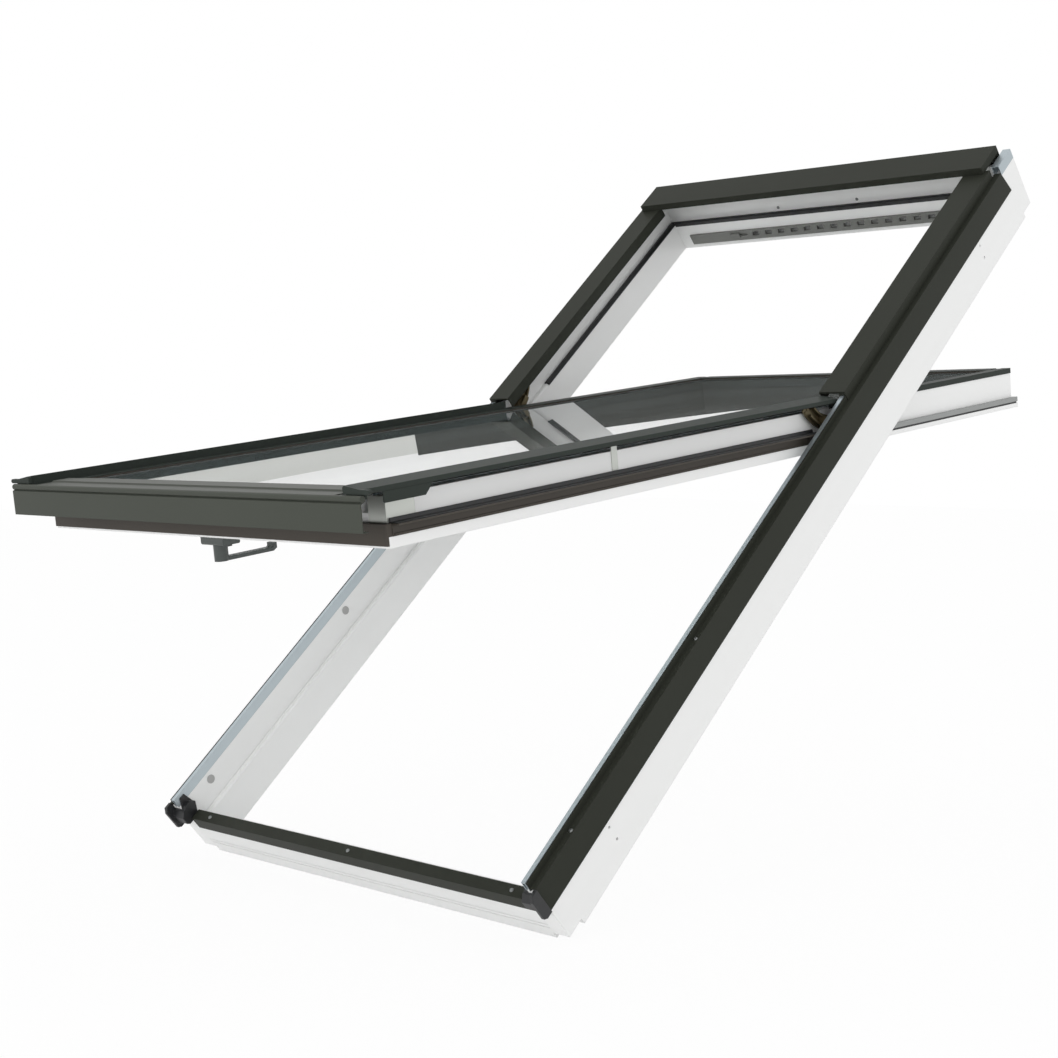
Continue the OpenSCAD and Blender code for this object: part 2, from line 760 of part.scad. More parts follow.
module cover_screws() {
    color(bare_metal) in_roof() union() {
        for (x = sill_screw_x) translate([x, sill_wall_t / 2, sill_depth + sheet_t]) screw_head();
        for (x = head_screw_x)
            translate([x, frame_h - head_wall_t, ledge_n + frame_seal_h + screw_r + 1])
                rotate([90, 0, 0]) screw_head();
        for (side = [-1, 1]) on_side(side) for (v = strip_screw_v)
            translate([frame_w / 2 - strip_w / 2 + sheet_t, v, strip_n]) screw_head();
    }
}

// Keeper plate on the sill for the sash's latch.
module lock_keeper() {
    keeper_n = ledge_n - keeper_drop - keeper_size[2];
    color(bare_metal) in_roof() difference() {
        translate([-keeper_size[0] / 2, sill_t, keeper_n]) cube(keeper_size);
        translate([-keeper_slot[0] / 2, sill_t - 1, keeper_n + (keeper_size[2] - keeper_slot[1]) / 2])
            cube([keeper_slot[0], keeper_size[1] + 2, keeper_slot[1]]);
    }
}

// Hinges: on each side a curved link runs in two tracks about the turning axis, one on the jamb and one
// on the sash, so that the sash turns about a line that lies outside the window.

// A right-hand arc about the axis, from radius r0 to r1 and from d to d + w.
module arc(r0, r1, d, w, half = arc_half) {
    far = 2 * plate_r1;
    translate([frame_w / 2 - d - w, pivot_v, pivot_n]) rotate([90, 0, 90]) linear_extrude(w) intersection() {
        difference() {
            circle(r = r1, $fn = 96);
            circle(r = r0, $fn = 96);
        }
        polygon([[0, 0], far * [-sin(half), -cos(half)], [0, -2 * far], far * [sin(half), -cos(half)]]);
    }
}

// The two ribs of a track, growing inward from d.
module track_ribs(d) {
    arc(in_rib_r, in_rib_r + rib_t, d, rib_h);
    arc(out_rib_r, out_rib_r + rib_t, d, rib_h);
}

module hinge_rail(side) {
    color(brass_plate) in_roof() on_side(side) union() {
        arc(plate_r0, plate_r1, outer_wall_t, plate_t);
        track_ribs(rail_d - eps);
    }
}

module hinge_link(side) {
    color(brass_plate) swung(open_angle / 2) on_side(side)
        arc(link_r - link_h / 2, link_r + link_h / 2, link_d, link_w);
}

module hinge_shoe(side) {
    spine_d = shoe_d + plate_t;
    spine_h = link_h - 2;
    lug_half = arc_half + lug_angle;
    rivet_angle = arc_half + lug_angle / 2;
    color(brass_plate) in_sash() on_side(side) union() {
        arc(plate_r0, plate_r1, shoe_d, plate_t);
        intersection() {
            arc(link_r - rivet_r, plate_r1, shoe_d, plate_t, lug_half);
            block([shoe_d, shoe_d + plate_t], [pivot_v - 2 * plate_r1, pivot_v], [ledge_n, pivot_n]);
        }
        for (r = [link_r + rivet_r / 2, plate_r1 - rivet_r - 1])
            translate([frame_w / 2 - shoe_d - eps, pivot_v, pivot_n])
                translate(-r * [0, sin(rivet_angle), cos(rivet_angle)])
                    rotate([0, 90, 0]) cylinder(h = rivet_h + eps, r = rivet_r);
        track_ribs(shoe_d - rib_h + eps);
        arc(link_r - spine_h / 2, link_r + spine_h / 2, spine_d - eps, stile_d - spine_d + eps, shoe_half);
    }
}

// Sash timber

function rail_section(face, flange, inner, rebate, top) = [
    [flange, sash_n], [inner, sash_n], [inner, seat_n], [rebate, seat_n], [rebate, timber_n],
    [face, timber_n], [face, top], [flange, top]
];

module stile(side) {
    main = [
        [stile_d, sash_n], [stile_in_d, sash_n], [stile_in_d, seat_n], [rebate_d, seat_n],
        [rebate_d, timber_n], [stile_d, timber_n]
    ];
    color(white_paint) in_sash() on_side(side) union() {
        up_slope(front_face_v, rear_face_v) polygon(main);
        block([flange_d, stile_in_d], [front_v, pivot_v], [sash_n, flange_n]);
        block([flange_d, stile_in_d], [front_v, rear_v], [sash_n, upper_flange_n]);
    }
}

module sash_rail(section) {
    half = frame_w / 2 - stile_in_d;
    color(white_paint) in_sash() across(-half, half) polygon(section);
}

module sash_bottom_rail() {
    sash_rail(rail_section(front_face_v, front_v, front_in_v, front_rebate_v, flange_n));
}

module sash_top_rail() {
    sash_rail(rail_section(rear_face_v, rear_v, rear_in_v, rear_rebate_v, upper_flange_n));
}

// Glass

module pane(n) {
    half = frame_w / 2 - rebate_d - pane_clear;
    v0 = front_rebate_v + pane_clear;
    v1 = rear_rebate_v - pane_clear;
    color(clear_glass) in_sash() translate([-half, v0, n]) cube([2 * half, v1 - v0, pane_t]);
}

module inner_pane() {
    pane(inner_pane_n);
}

module outer_pane() {
    pane(outer_pane_n);
}

module pane_spacer() {
    inset = pane_clear + spacer_inset;
    color(bare_metal) in_sash() glass_ring(rebate_d + inset, inset, spacer_w, spacer_n, outer_pane_n);
}

module glazing_seat() {
    color(black_plastic) in_sash()
        glass_ring(rebate_d + pane_clear, pane_clear, seat_seal_w, seat_n, inner_pane_n);
}

module glazing_seal() {
    color(black_plastic) in_sash() glass_ring(rebate_d, 0, top_seal_w, top_seal_n, landing_n);
}

// Sash covers

// Section of a lower side cover, from its outer wall to its landing on the glazing seal.
side_cover_path = [
    [side_cover_d + sheet_t, side_wall_n], [side_cover_d + sheet_t, crest_n - crest_fall - sheet_t],
    [crest_d - sheet_t, crest_n - sheet_t], [crest_d - sheet_t, landing_n], [landing_d, landing_n]
];

module sash_side_cover(side) {
    color(dark_paint) in_sash() on_side(side)
        up_slope(-side_cover_front, upper_cover_v + crest_tuck) folded(side_cover_path);
}

// Lug on the front end of a side cover, which passes over the frame's corner cap.
module cover_end_cap(side) {
    low = bead_n + bead_r + end_cap_gap;
    top = crest_n - crest_fall;
    b = end_cap_bevel;
    outline = [
        [end_cap_d + b, low], [end_cap_d, low + b], [end_cap_d, top - b], [end_cap_d + b, top],
        [side_cover_d, top], [crest_d, crest_n], [crest_d + b, crest_n - b], [crest_d + b, low]
    ];
    apron = [
        [bottom_cover_d, bead_n - 1], [bottom_cover_d, low + b], [crest_d, low + b], [crest_d, bead_n - 1]
    ];
    apron_t = bottom_overhang - 2 * bead_r - side_cover_front - end_cap_gap;
    color(dark_paint) in_sash() on_side(side) union() {
        up_slope(-side_cover_front - end_cap_t, -side_cover_front) polygon(outline);
        up_slope(-side_cover_front - apron_t, -side_cover_front) polygon(apron);
    }
}

// Bare plate bent round a lower corner of the sash.
module sash_corner(side) {
    out = stile_d - sheet_t;
    front = front_face_v - sheet_t;
    height = [ledge_n + lip_rest + lip_t + lip_rest, timber_n];
    color(bare_metal) in_sash() on_side(side) union() {
        block([out, stile_d], [front, front_face_v + corner_plate_l], height);
        block([out, stile_d + corner_plate_w], [front, front_face_v], height);
    }
}

module sash_upper_cover(side) {
    path = [
        [stile_d, low_cover_n - drip_edge], [stile_d, low_cover_n - sheet_t],
        [rebate_d - 6, low_cover_n - sheet_t], [rebate_d, landing_n], [landing_d, landing_n]
    ];
    color(dark_paint) in_sash() on_side(side) up_slope(pivot_v + axis_gap, rear_face_v) folded(path);
}

module sash_top_cover() {
    half = frame_w / 2 - landing_d - 0.5;
    path = [
        [rear_rebate_v - top_seal_w, landing_n], [rear_rebate_v, landing_n],
        [rear_rebate_v + 6, low_cover_n - sheet_t], [rear_face_v, low_cover_n - sheet_t],
        [rear_face_v, low_cover_n - drip_edge]
    ];
    color(dark_paint) in_sash() across(-half, half) folded(path);
}

module sash_bottom_cover() {
    face_half = frame_w / 2 - bottom_cover_d;
    top_half = frame_w / 2 - landing_d - 0.5;
    face = sheet_t - bottom_overhang;
    bead_v = face + bead_r - sheet_t;
    step_v = (bead_v + front_face_v) / 2;
    top = landing_n + 1.5;
    face_top = bead_n - bead_r - 2;
    foot = face_top - bottom_face_h;
    face_path = [
        [face + bottom_return, foot], [face, foot], [face, face_top],
        [face + bead_groove, face_top + 2], [face + bead_groove, bead_n]
    ];
    top_path = [
        [bead_v, top], [step_v, top], [step_v + bottom_step_h, top + bottom_step_h],
        [front_face_v, top + bottom_step_h], [front_rebate_v, landing_n],
        [front_rebate_v + top_seal_w, landing_n]
    ];
    color(dark_paint) in_sash() union() {
        across(-face_half, face_half) folded(face_path);
        across(-top_half, top_half) folded(top_path);
        translate([-face_half, bead_v, bead_n]) rotate([0, 90, 0]) cylinder(h = 2 * face_half, r = bead_r);
    }
}

// Clip that holds the side cover on the stile.
module cover_clip(side) {
    fall = crest_fall / (crest_w - 2 * sheet_t);
    hook_d = stile_d - clip_hook;
    hook_n = crest_n - 2 * sheet_t - fall * (crest_d - hook_d) - 1;
    path = [[stile_d, timber_n - clip_drop], [stile_d, hook_n - sheet_t], [hook_d, hook_n - sheet_t]];
    color(bare_metal) in_sash() on_side(side) up_slope(clip_v - clip_w / 2, clip_v + clip_w / 2) folded(path);
}

// Seals of the sash

module sash_lower_seal() {
    top = flange_n + lower_seal_h;
    lip_n = ledge_n + lip_rest;
    lip_d = rail_d + 0.5;
    end = pivot_v - seal_axis_gap;
    front = front_v - front_seal_t;
    side_path = [
        [flange_d - 1, flange_n], [stile_d, flange_n], [stile_d, lip_n + lip_t],
        [lip_d, lip_n + lip_t], [lip_d, lip_n], [flange_d - 1, lip_n]
    ];
    front_path = [
        [front, sash_n + sash_bevel], [front_v, sash_n + sash_bevel], [front_v, flange_n],
        [front_face_v, flange_n], [front_face_v, lip_n + lip_t], [front, lip_n + lip_t]
    ];
    half = frame_w / 2 - stile_d;
    color(brown_rubber) in_sash() union() {
        for (side = [-1, 1]) on_side(side) up_slope(front_face_v, end) polygon(side_path);
        across(-half - flange_w, half + flange_w) polygon(front_path);
    }
}

// A band along the flange of the sash's upper half, set back from the flange's edge.
module upper_band(set_back, n0, n1) {
    out = flange_d + set_back;
    end = rear_v - set_back;
    half = frame_w / 2 - out;
    for (side = [-1, 1]) on_side(side) block([out, stile_d], [pivot_v, end], [n0, n1]);
    translate([-half, rear_face_v, n0]) cube([2 * half, end - rear_face_v, n1 - n0]);
}

module sash_upper_seal() {
    color(black_plastic) in_sash() upper_band(upper_seal_h / 2, upper_flange_n, upper_seal_n);
}

module sash_upper_trim() {
    color(bare_metal) in_sash() upper_band(0, upper_seal_n, upper_trim_n);
}

// Handle

module handle_base() {
    size = handle_base_size;
    front = handle_v - handle_base_front;
    low = sash_n - size[2];
    side = [
        [front, sash_n], [front + size[0], sash_n], [front + size[0], low + base_bevel],
        [front + size[0] - base_bevel, low], [front + base_bevel, low], [front, low + base_bevel]
    ];
    color(handle_grey) in_sash() difference() {
        across(-size[1] / 2, size[1] / 2) polygon(side);
        translate([0, handle_v, sash_n - size[2] - 1]) cylinder(h = size[2] + 2, r = boss_r * 0.5 + 0.3);
    }
}

// Lever with its boss, turned to lie along the stiles, as it does while the sash is unlatched.
module handle_lever() {
    base_n = sash_n - handle_base_size[2] - boss_gap;
    low = base_n - boss_h;
    bend = lever_l - lever_tip_h - lever_t;
    path = [
        [0, low], [bend, low], [lever_l - lever_t, low + lever_tip_h * 0.6],
        [lever_l - lever_t, low + lever_tip_h + lever_t]
    ];
    color(handle_grey) in_sash() translate([0, handle_v, 0]) union() {
        translate([0, 0, low]) cylinder(h = boss_h, r = boss_r);
        translate([-lever_w / 4, 0, base_n - lever_t]) cube([lever_w / 2, boss_r + catch_l, lever_t / 2]);
        translate([0, 0, base_n - 1]) cylinder(h = boss_gap + handle_base_size[2] + 0.7, r = boss_r * 0.5);
        across(-lever_w / 2, lever_w / 2) folded([for (i = [len(path) - 1:-1:0]) path[i]], -lever_t);
    }
}

frame_head();
frame_sill();
jamb(-1);  // frame_jamb_left
jamb(1);  // frame_jamb_right
head_cover();
upper_cover(-1);  // upper_cover_left
upper_cover(1);  // upper_cover_right
side_profile(-1);  // side_profile_left
side_profile(1);  // side_profile_right
upstand(-1);  // upstand_left
upstand(1);  // upstand_right
corner_piece(-1);  // corner_piece_left
corner_piece(1);  // corner_piece_right
sill_cover();
corner_cap(-1);  // corner_cap_left
corner_cap(1);  // corner_cap_right
frame_seal();
vent_grille();
vent_slider();
jamb_plugs();
cover_screws();
lock_keeper();
hinge_rail(-1);  // hinge_rail_left
hinge_rail(1);  // hinge_rail_right
hinge_link(-1);  // hinge_link_left
hinge_link(1);  // hinge_link_right
hinge_shoe(-1);  // hinge_shoe_left
hinge_shoe(1);  // hinge_shoe_right
sash_top_rail();
sash_bottom_rail();
stile(-1);  // sash_stile_left
stile(1);  // sash_stile_right
inner_pane();
outer_pane();
pane_spacer();
glazing_seat();
glazing_seal();
sash_side_cover(-1);  // sash_side_cover_left
sash_side_cover(1);  // sash_side_cover_right
sash_upper_cover(-1);  // sash_upper_cover_left
sash_upper_cover(1);  // sash_upper_cover_right
sash_bottom_cover();
sash_top_cover();
cover_end_cap(-1);  // cover_end_cap_left
cover_end_cap(1);  // cover_end_cap_right
sash_corner(-1);  // sash_corner_left
sash_corner(1);  // sash_corner_right
cover_clip(-1);  // cover_clip_left
cover_clip(1);  // cover_clip_right
sash_lower_seal();
sash_upper_seal();
sash_upper_trim();
handle_base();
handle_lever();
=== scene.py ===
import json
import math
import bmesh
import bpy
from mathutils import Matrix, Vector


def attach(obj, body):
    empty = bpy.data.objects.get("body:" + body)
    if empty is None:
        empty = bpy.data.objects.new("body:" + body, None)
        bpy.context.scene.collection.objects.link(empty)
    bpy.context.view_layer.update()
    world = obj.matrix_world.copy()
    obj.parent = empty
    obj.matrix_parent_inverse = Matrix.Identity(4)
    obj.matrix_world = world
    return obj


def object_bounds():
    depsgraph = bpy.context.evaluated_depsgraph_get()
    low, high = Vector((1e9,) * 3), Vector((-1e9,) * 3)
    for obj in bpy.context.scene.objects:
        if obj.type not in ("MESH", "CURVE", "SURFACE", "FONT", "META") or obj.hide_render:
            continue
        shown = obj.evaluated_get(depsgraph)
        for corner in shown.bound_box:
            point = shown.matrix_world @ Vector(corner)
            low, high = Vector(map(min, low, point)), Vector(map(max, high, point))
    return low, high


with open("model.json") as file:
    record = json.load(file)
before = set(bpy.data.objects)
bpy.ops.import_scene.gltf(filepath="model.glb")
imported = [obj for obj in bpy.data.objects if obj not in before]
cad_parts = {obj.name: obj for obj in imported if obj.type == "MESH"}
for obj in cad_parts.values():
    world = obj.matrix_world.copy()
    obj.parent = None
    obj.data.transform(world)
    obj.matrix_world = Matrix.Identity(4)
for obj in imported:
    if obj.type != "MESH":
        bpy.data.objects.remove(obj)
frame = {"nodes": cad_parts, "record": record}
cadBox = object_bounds()
nodes = frame["nodes"]

scene = bpy.context.scene
scene.view_settings.view_transform = "Standard"

# places in the window: d inward from a side face, v up the slope, n outward, in millimetres
window = {"halfWidth": 390.0, "axisV": 972.0, "axisN": 160.0, "perMetre": 1000,
          "tilt": {"frame": 41.1, "sash": 6.8}}
axis = next(j for j in frame["record"]["behaviour"]["joints"] if j["name"] == "sash_pivot")["pos_m"]


def windowPoint(body, side, place):
    d, v, n = place
    tilt = math.radians(window["tilt"][body])
    across = (window["halfWidth"] - d) / window["perMetre"]
    up = (v - window["axisV"]) / window["perMetre"]
    out = (n - window["axisN"]) / window["perMetre"]
    return (side * across,
            axis[1] + up * math.cos(tilt) - out * math.sin(tilt),
            axis[2] + up * math.sin(tilt) + out * math.cos(tilt))


def addObject(name, data):
    obj = bpy.data.objects.new(name, data)
    scene.collection.objects.link(obj)
    return obj


def newMaterial(name):
    mat = bpy.data.materials.new(name)
    mat.use_nodes = True
    return mat, mat.node_tree, mat.node_tree.nodes["Principled BSDF"]


def mathNode(tree, operation):
    node = tree.nodes.new("ShaderNodeMath")
    node.operation = operation
    return node


def mixColor(tree, blend):
    mix = tree.nodes.new("ShaderNodeMix")
    mix.data_type = "RGBA"
    mix.blend_type = blend
    return mix


def noise(tree, detail):
    node = tree.nodes.new("ShaderNodeTexNoise")
    node.inputs["Detail"].default_value = detail
    return node


def linkAll(tree, pairs):
    for source, target in pairs:
        tree.links.new(source, target)


def newGroup(name, inputs, outputs):
    group = bpy.data.node_groups.new(name, "ShaderNodeTree")
    for label, kind, value in inputs:
        socket = group.interface.new_socket(label, in_out="INPUT", socket_type=kind)
        socket.default_value = value
    for label, kind in outputs:
        group.interface.new_socket(label, in_out="OUTPUT", socket_type=kind)
    entry = group.nodes.new("NodeGroupInput")
    leave = group.nodes.new("NodeGroupOutput")
    return group, entry, leave


def placeGroup(tree, group, values):
    node = tree.nodes.new("ShaderNodeGroup")
    node.node_tree = group
    for label, value in values.items():
        node.inputs[label].default_value = value
    return node


textureOutputs = [
    ("Color", "NodeSocketColor"), ("Roughness", "NodeSocketFloat"), ("Height", "NodeSocketFloat")]

# long soft streaks that follow a board's length, tilted to the board's own slope
grainLook = {"stretch": (1.0, 0.04, 1.0), "detail": 5.0, "streakTint": (0.80, 0.79, 0.76, 1),
             "spread": 0.12}


def makeBoardGrain():
    group, entry, leave = newGroup("boardGrain", [
        ("Color", "NodeSocketColor", (0.8, 0.8, 0.8, 1)), ("Tilt", "NodeSocketFloat", 0.0),
        ("Across", "NodeSocketFloat", 60.0), ("Strength", "NodeSocketFloat", 0.04),
        ("Roughness", "NodeSocketFloat", 0.4)], textureOutputs)
    coord = group.nodes.new("ShaderNodeTexCoord")
    turn = group.nodes.new("ShaderNodeVectorRotate")
    turn.rotation_type = "X_AXIS"
    stretch = group.nodes.new("ShaderNodeVectorMath")
    stretch.operation = "MULTIPLY"
    stretch.inputs[1].default_value = grainLook["stretch"]
    streak = noise(group, grainLook["detail"])
    shade = mathNode(group, "MULTIPLY")
    tint = mixColor(group, "MULTIPLY")
    tint.inputs["B"].default_value = grainLook["streakTint"]
    rough = mathNode(group, "MULTIPLY_ADD")
    rough.inputs[1].default_value = grainLook["spread"]
    linkAll(group, [
        (coord.outputs["Object"], turn.inputs["Vector"]),
        (entry.outputs["Tilt"], turn.inputs["Angle"]),
        (turn.outputs["Vector"], stretch.inputs[0]),
        (stretch.outputs["Vector"], streak.inputs["Vector"]),
        (entry.outputs["Across"], streak.inputs["Scale"]),
        (streak.outputs["Fac"], shade.inputs[0]),
        (entry.outputs["Strength"], shade.inputs[1]),
        (shade.outputs["Value"], tint.inputs["Factor"]),
        (entry.outputs["Color"], tint.inputs["A"]),
        (streak.outputs["Fac"], rough.inputs[0]),
        (entry.outputs["Roughness"], rough.inputs[2]),
        (tint.outputs["Result"], leave.inputs["Color"]),
        (rough.outputs["Value"], leave.inputs["Roughness"]),
        (streak.outputs["Fac"], leave.inputs["Height"])])
    return group


# the fine orange peel of a sprayed or powder coat, with a slow change of shade
coatLook = {"patch": 3.0, "patchDetail": 3.0, "peelDetail": 2.0, "bumpDepth": 0.0003, "shine": 0.5}


def makeCoatTexture():
    group, entry, leave = newGroup("coatTexture", [
        ("Color", "NodeSocketColor", (0.1, 0.1, 0.1, 1)),
        ("Shade", "NodeSocketColor", (0.08, 0.08, 0.08, 1)),
        ("Patch", "NodeSocketFloat", coatLook["patch"]), ("Peel", "NodeSocketFloat", 900.0),
        ("Roughness", "NodeSocketFloat", 0.45), ("Spread", "NodeSocketFloat", 0.1)], textureOutputs)
    coord = group.nodes.new("ShaderNodeTexCoord")
    patch = noise(group, coatLook["patchDetail"])
    peel = noise(group, coatLook["peelDetail"])
    tint = mixColor(group, "MIX")
    rough = mathNode(group, "MULTIPLY_ADD")
    linkAll(group, [
        (coord.outputs["Object"], patch.inputs["Vector"]),
        (coord.outputs["Object"], peel.inputs["Vector"]),
        (entry.outputs["Patch"], patch.inputs["Scale"]),
        (entry.outputs["Peel"], peel.inputs["Scale"]),
        (patch.outputs["Fac"], tint.inputs["Factor"]),
        (entry.outputs["Color"], tint.inputs["A"]),
        (entry.outputs["Shade"], tint.inputs["B"]),
        (patch.outputs["Fac"], rough.inputs[0]),
        (entry.outputs["Spread"], rough.inputs[1]),
        (entry.outputs["Roughness"], rough.inputs[2]),
        (tint.outputs["Result"], leave.inputs["Color"]),
        (rough.outputs["Value"], leave.inputs["Roughness"]),
        (peel.outputs["Fac"], leave.inputs["Height"])])
    return group


# rounds the light on sharp folds and sawn edges
edgeLook = {"radius": 0.0008, "samples": 4}


def makeSoftEdge():
    group, entry, leave = newGroup(
        "softEdge", [("Radius", "NodeSocketFloat", edgeLook["radius"])], [("Normal", "NodeSocketVector")])
    bevel = group.nodes.new("ShaderNodeBevel")
    bevel.samples = edgeLook["samples"]
    linkAll(group, [(entry.outputs["Radius"], bevel.inputs["Radius"]),
                    (bevel.outputs["Normal"], leave.inputs["Normal"])])
    return group


boardGrain = makeBoardGrain()
coatTexture = makeCoatTexture()
softEdge = makeSoftEdge()


# joins a texture's colour, roughness and bump to a material
def wearTexture(tree, bsdf, texture, edgeRadius, depth, strength):
    edge = placeGroup(tree, softEdge, {"Radius": edgeRadius})
    bump = tree.nodes.new("ShaderNodeBump")
    bump.inputs["Strength"].default_value = strength
    bump.inputs["Distance"].default_value = depth
    linkAll(tree, [
        (texture.outputs["Color"], bsdf.inputs["Base Color"]),
        (texture.outputs["Roughness"], bsdf.inputs["Roughness"]),
        (texture.outputs["Height"], bump.inputs["Height"]),
        (edge.outputs["Normal"], bump.inputs["Normal"]),
        (bump.outputs["Normal"], bsdf.inputs["Normal"])])


# painted boards of the frame and the sash
timber = {
    "paint": (0.895, 0.90, 0.895, 1), "roughness": 0.30, "coat": 0.15, "across": 70.0, "streaks": 0.10,
    "edge": 0.0012, "depth": 0.0004, "bump": 0.12,
}


def makeTimber(name, body):
    mat, tree, bsdf = newMaterial(name)
    grain = placeGroup(tree, boardGrain, {
        "Color": timber["paint"], "Tilt": -math.radians(window["tilt"][body]), "Across": timber["across"],
        "Strength": timber["streaks"], "Roughness": timber["roughness"]})
    bsdf.inputs["Coat Weight"].default_value = timber["coat"]
    wearTexture(tree, bsdf, grain, timber["edge"], timber["depth"], timber["bump"])
    return mat


# coated, plated and moulded finishes
finishes = {
    "darkCoat": {"color": (0.033, 0.0355, 0.028, 1), "shade": (0.027, 0.0295, 0.023, 1), "roughness": 0.44,
                 "spread": 0.08, "shine": 0.08, "metal": 0.0, "peel": 1400.0, "bump": 0.06, "edge": 0.0010},
    "sashCoat": {"color": (0.036, 0.043, 0.038, 1), "shade": (0.030, 0.037, 0.032, 1), "roughness": 0.42,
                 "spread": 0.08, "shine": 0.08, "metal": 0.0, "peel": 1400.0, "bump": 0.06, "edge": 0.0010},
    "frontCoat": {"color": (0.056, 0.062, 0.050, 1), "shade": (0.047, 0.052, 0.042, 1), "roughness": 0.42,
                  "spread": 0.08, "shine": 0.2, "metal": 0.0, "peel": 1400.0, "bump": 0.06, "edge": 0.0010},
    "bareMetal": {"color": (0.50, 0.56, 0.59, 1), "shade": (0.44, 0.50, 0.53, 1), "roughness": 0.36,
                  "spread": 0.15, "metal": 0.85, "peel": 600.0, "bump": 0.03, "edge": 0.0006},
    "plateMetal": {"color": (0.64, 0.66, 0.62, 1), "shade": (0.56, 0.58, 0.545, 1), "roughness": 0.36,
                   "spread": 0.15, "metal": 0.85, "peel": 600.0, "bump": 0.03, "edge": 0.0006},
    "blackPlastic": {"color": (0.012, 0.013, 0.014, 1), "shade": (0.018, 0.019, 0.020, 1),
                     "roughness": 0.42, "spread": 0.1, "metal": 0.0, "peel": 2200.0, "bump": 0.08,
                     "edge": 0.0012},
    "sealRubber": {"color": (0.055, 0.045, 0.034, 1), "shade": (0.036, 0.030, 0.023, 1), "roughness": 0.55,
                   "spread": 0.1, "metal": 0.0, "peel": 2600.0, "bump": 0.08, "edge": 0.0008},
    "hingeSteel": {"color": (0.16, 0.13, 0.075, 1), "shade": (0.11, 0.09, 0.05, 1), "roughness": 0.36,
                   "spread": 0.15, "metal": 0.8, "peel": 700.0, "bump": 0.04, "edge": 0.0006},
    "grilleGrey": {"color": (0.19, 0.195, 0.18, 1), "shade": (0.17, 0.175, 0.165, 1), "roughness": 0.45,
                   "spread": 0.08, "metal": 0.0, "peel": 1800.0, "bump": 0.05, "edge": 0.0006},
    "handleCoat": {"color": (0.075, 0.085, 0.080, 1), "shade": (0.065, 0.074, 0.070, 1), "roughness": 0.36,
                   "spread": 0.1, "metal": 0.2, "peel": 1600.0, "bump": 0.05, "edge": 0.0014},
    "screwSteel": {"color": (0.30, 0.31, 0.31, 1), "shade": (0.24, 0.25, 0.25, 1), "roughness": 0.35,
                   "spread": 0.1, "metal": 0.9, "peel": 900.0, "bump": 0.02, "edge": 0.0004},
    "plugGrey": {"color": (0.44, 0.44, 0.435, 1), "shade": (0.40, 0.40, 0.395, 1), "roughness": 0.5,
                 "spread": 0.1, "metal": 0.0, "peel": 900.0, "bump": 0.03, "edge": 0.0006},
    "trimGrey": {"color": (0.33, 0.34, 0.335, 1), "shade": (0.29, 0.30, 0.295, 1), "roughness": 0.45,
                 "spread": 0.1, "metal": 0.1, "peel": 900.0, "bump": 0.03, "edge": 0.0006},
}


def makeFinish(name):
    look = finishes[name]
    mat, tree, bsdf = newMaterial(name)
    coat = placeGroup(tree, coatTexture, {
        "Color": look["color"], "Shade": look["shade"], "Peel": look["peel"],
        "Roughness": look["roughness"], "Spread": look["spread"]})
    bsdf.inputs["Metallic"].default_value = look["metal"]
    bsdf.inputs["Specular IOR Level"].default_value = look.get("shine", coatLook["shine"])
    wearTexture(tree, bsdf, coat, look["edge"], coatLook["bumpDepth"], look["bump"])
    return mat


glassLook = {"tint": (0.93, 0.95, 0.94, 1), "ior": 1.5, "roughness": 0.0, "clear": 1.0}


def makeGlass():
    mat, _, bsdf = newMaterial("clearGlass")
    bsdf.inputs["Base Color"].default_value = glassLook["tint"]
    bsdf.inputs["Roughness"].default_value = glassLook["roughness"]
    bsdf.inputs["IOR"].default_value = glassLook["ior"]
    bsdf.inputs["Transmission Weight"].default_value = glassLook["clear"]
    return mat


made = {name: makeFinish(name) for name in finishes}
made["frameTimber"] = makeTimber("frameTimber", "frame")
made["sashTimber"] = makeTimber("sashTimber", "sash")
made["clearGlass"] = makeGlass()

# which finish each piece of the window wears
wears = {
    "frameTimber": ["frame_head", "frame_sill", "frame_jamb_left", "frame_jamb_right"],
    "sashTimber": ["sash_top_rail", "sash_bottom_rail", "sash_stile_left", "sash_stile_right"],
    "darkCoat": ["head_cover", "upper_cover_left", "upper_cover_right", "side_profile_left",
                 "side_profile_right", "sill_cover"],
    "frontCoat": ["sash_bottom_cover"],
    "sashCoat": ["sash_side_cover_left", "sash_side_cover_right", "sash_upper_cover_left",
                 "sash_upper_cover_right", "sash_top_cover", "cover_end_cap_left", "cover_end_cap_right"],
    "bareMetal": ["upstand_left", "upstand_right", "corner_piece_left", "corner_piece_right", "pane_spacer",
                  "lock_keeper"],
    "plateMetal": ["cover_clip_left", "cover_clip_right", "sash_corner_left", "sash_corner_right"],
    "trimGrey": ["sash_upper_trim"],
    "plugGrey": ["jamb_plugs"],
    "blackPlastic": ["corner_cap_left", "corner_cap_right", "frame_seal", "sash_upper_seal"],
    "sealRubber": ["sash_lower_seal", "glazing_seat", "glazing_seal"],
    "hingeSteel": ["hinge_rail_left", "hinge_rail_right", "hinge_link_left", "hinge_link_right",
                   "hinge_shoe_left", "hinge_shoe_right"],
    "grilleGrey": ["vent_grille", "vent_slider"],
    "clearGlass": ["inner_pane", "outer_pane"],
    "handleCoat": ["handle_base", "handle_lever"],
    "screwSteel": ["cover_screws"],
}

for finish, names in wears.items():
    for name in names:
        nodes[name].data.materials.clear()
        nodes[name].data.materials.append(made[finish])
# the panes let the lamps' light through
for name in wears["clearGlass"]:
    nodes[name].visible_shadow = False
print("finishes on", sum(len(names) for names in wears.values()), "pieces")


